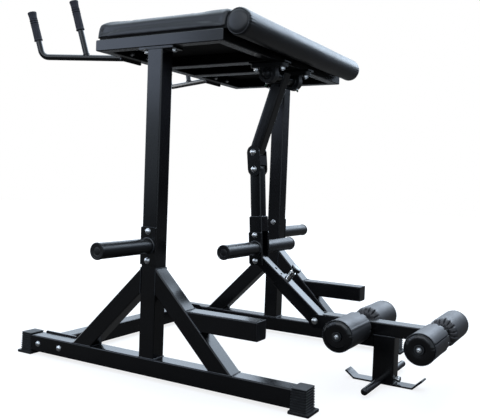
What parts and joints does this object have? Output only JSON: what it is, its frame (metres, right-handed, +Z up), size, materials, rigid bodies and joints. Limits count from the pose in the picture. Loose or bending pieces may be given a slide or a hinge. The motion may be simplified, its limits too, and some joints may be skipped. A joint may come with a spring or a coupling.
{
  "type": "reverse hyperextension machine",
  "caption": "Steel frame with a padded table, side handles and horns for weight plates, and a jointed pendulum with foam rollers that swings under the table on pillow block bearings.",
  "frame": {"origin": "on the floor, in the middle of the floor area that the machine covers", "axes": "+X towards the end where the feet swing, +Y across the machine, +Z up"},
  "size_m": [1.5222, 1.436, 1.3166],
  "materials": {
    "black_paint": "satin black powder coat",
    "zinc_steel": "zinc plated",
    "bearing_iron": "matte black paint over a cast skin",
    "black_rubber": "matte moulded, ribbed",
    "black_plastic": "fine matte",
    "black_vinyl": "fine-grained upholstery vinyl, soft sheen",
    "grip_foam": "matte closed-cell foam",
    "board_wood": "black stained plywood"
  },
  "bodies": {
    "frame": {"base_rail_left": "black_paint", "base_rail_right": "black_paint", "foot_cap_head_left": "black_rubber", "foot_cap_head_right": "black_rubber", "foot_cap_hip_left": "black_rubber", "foot_cap_hip_right": "black_rubber", "base_crossbar": "black_paint", "upright_left": "black_paint", "upright_right": "black_paint", "brace_head_left": "black_paint", "brace_head_right": "black_paint", "brace_hip_left": "black_paint", "brace_hip_right": "black_paint", "step_tube_left": "black_paint", "step_tube_right": "black_paint", "step_cap_left": "black_plastic", "step_cap_right": "black_plastic", "storage_horn_left": "black_paint", "storage_horn_right": "black_paint", "pad_rail_left": "black_paint", "pad_rail_right": "black_paint", "pad_head_tube": "black_paint", "pad_hip_tube": "black_paint", "centre_tube_left": "black_paint", "centre_tube_right": "black_paint", "handle_arm_left": "black_paint", "handle_arm_right": "black_paint", "grip_end_left": "grip_foam", "grip_end_right": "grip_foam", "grip_middle_left": "grip_foam", "grip_middle_right": "grip_foam", "pad_board": "board_wood", "pad_cushion": "black_vinyl", "hip_roll": "black_vinyl", "pillow_block_left": "bearing_iron", "pillow_block_right": "bearing_iron"},
    "swing_arm": {"bearing_insert_left": "bearing_iron", "bearing_insert_right": "bearing_iron", "pivot_shaft": "bearing_iron", "upper_arm": "black_paint"},
    "link": {"link": "black_paint", "link_bolt_upper": "zinc_steel", "link_bolt_lower": "zinc_steel"},
    "lower_arm": {"lower_arm": "black_paint", "pendulum_horn_left": "black_paint", "pendulum_horn_right": "black_paint", "extension_tube": "black_paint"},
    "sleeve": {"slider_sleeve": "black_paint"},
    "pop_pin": {"pop_pin": "black_plastic"},
    "roller_bar": {"roller_bar": "black_paint", "hinge_bolt": "zinc_steel", "axle_inner": "zinc_steel", "axle_outer": "zinc_steel", "hook_bar": "black_paint"},
    "roller_inner_left": {"roller_inner_left": "black_vinyl"},
    "roller_inner_right": {"roller_inner_right": "black_vinyl"},
    "roller_outer_left": {"roller_outer_left": "black_vinyl"},
    "roller_outer_right": {"roller_outer_right": "black_vinyl"},
    "peg": {"peg_rod": "black_paint"},
    "thumb_screw": {"thumb_screw": "zinc_steel"}
  },
  "joints": [
    {"name": "pendulum_swing", "type": "hinge", "parent": "frame", "child": "swing_arm", "pos_m": [0.09778, 0, 1.0516], "axis": [0, -1, 0], "range_deg": [-40, 90]},
    {"name": "upper_link_hinge", "type": "hinge", "parent": "swing_arm", "child": "link", "pos_m": [0.00628, 0, 0.7775], "axis": [0, -1, 0], "range_deg": [-30, 35]},
    {"name": "lower_link_hinge", "type": "hinge", "parent": "link", "child": "lower_arm", "pos_m": [0.01278, 0, 0.7143], "axis": [0, -1, 0], "range_deg": [-30, 35]},
    {"name": "leg_length_slide", "type": "slide", "parent": "lower_arm", "child": "sleeve", "axis": [0.7826, 0, -0.6225], "range_m": [-0.06, 0.06]},
    {"name": "pop_pin_drop", "type": "slide", "parent": "sleeve", "child": "pop_pin", "axis": [0.6225, 0, 0.7826], "range_m": [-0.0085, 0]},
    {"name": "roller_bar_hinge", "type": "hinge", "parent": "sleeve", "child": "roller_bar", "pos_m": [0.28557, 0, 0.18221], "axis": [0, -1, 0], "range_deg": [-55, 50]},
    {"name": "roller_inner_left_spin", "type": "hinge", "parent": "roller_bar", "child": "roller_inner_left", "pos_m": [0.44947, -0.233, 0.18721], "axis": [0, 1, 0], "continuous": true},
    {"name": "roller_inner_right_spin", "type": "hinge", "parent": "roller_bar", "child": "roller_inner_right", "pos_m": [0.44947, 0.233, 0.18721], "axis": [0, 1, 0], "continuous": true},
    {"name": "roller_outer_left_spin", "type": "hinge", "parent": "roller_bar", "child": "roller_outer_left", "pos_m": [0.71107, -0.233, 0.18721], "axis": [0, 1, 0], "continuous": true},
    {"name": "roller_outer_right_spin", "type": "hinge", "parent": "roller_bar", "child": "roller_outer_right", "pos_m": [0.71107, 0.233, 0.18721], "axis": [0, 1, 0], "continuous": true},
    {"name": "peg_slide", "type": "slide", "parent": "roller_bar", "child": "peg", "axis": [0, 1, 0], "range_m": [-0.17, 0.17]},
    {"name": "thumb_screw_turn", "type": "hinge", "parent": "roller_bar", "child": "thumb_screw", "pos_m": [0.57477, 0, 0.0205], "axis": [1, 0, 0], "continuous": true}
  ]
}
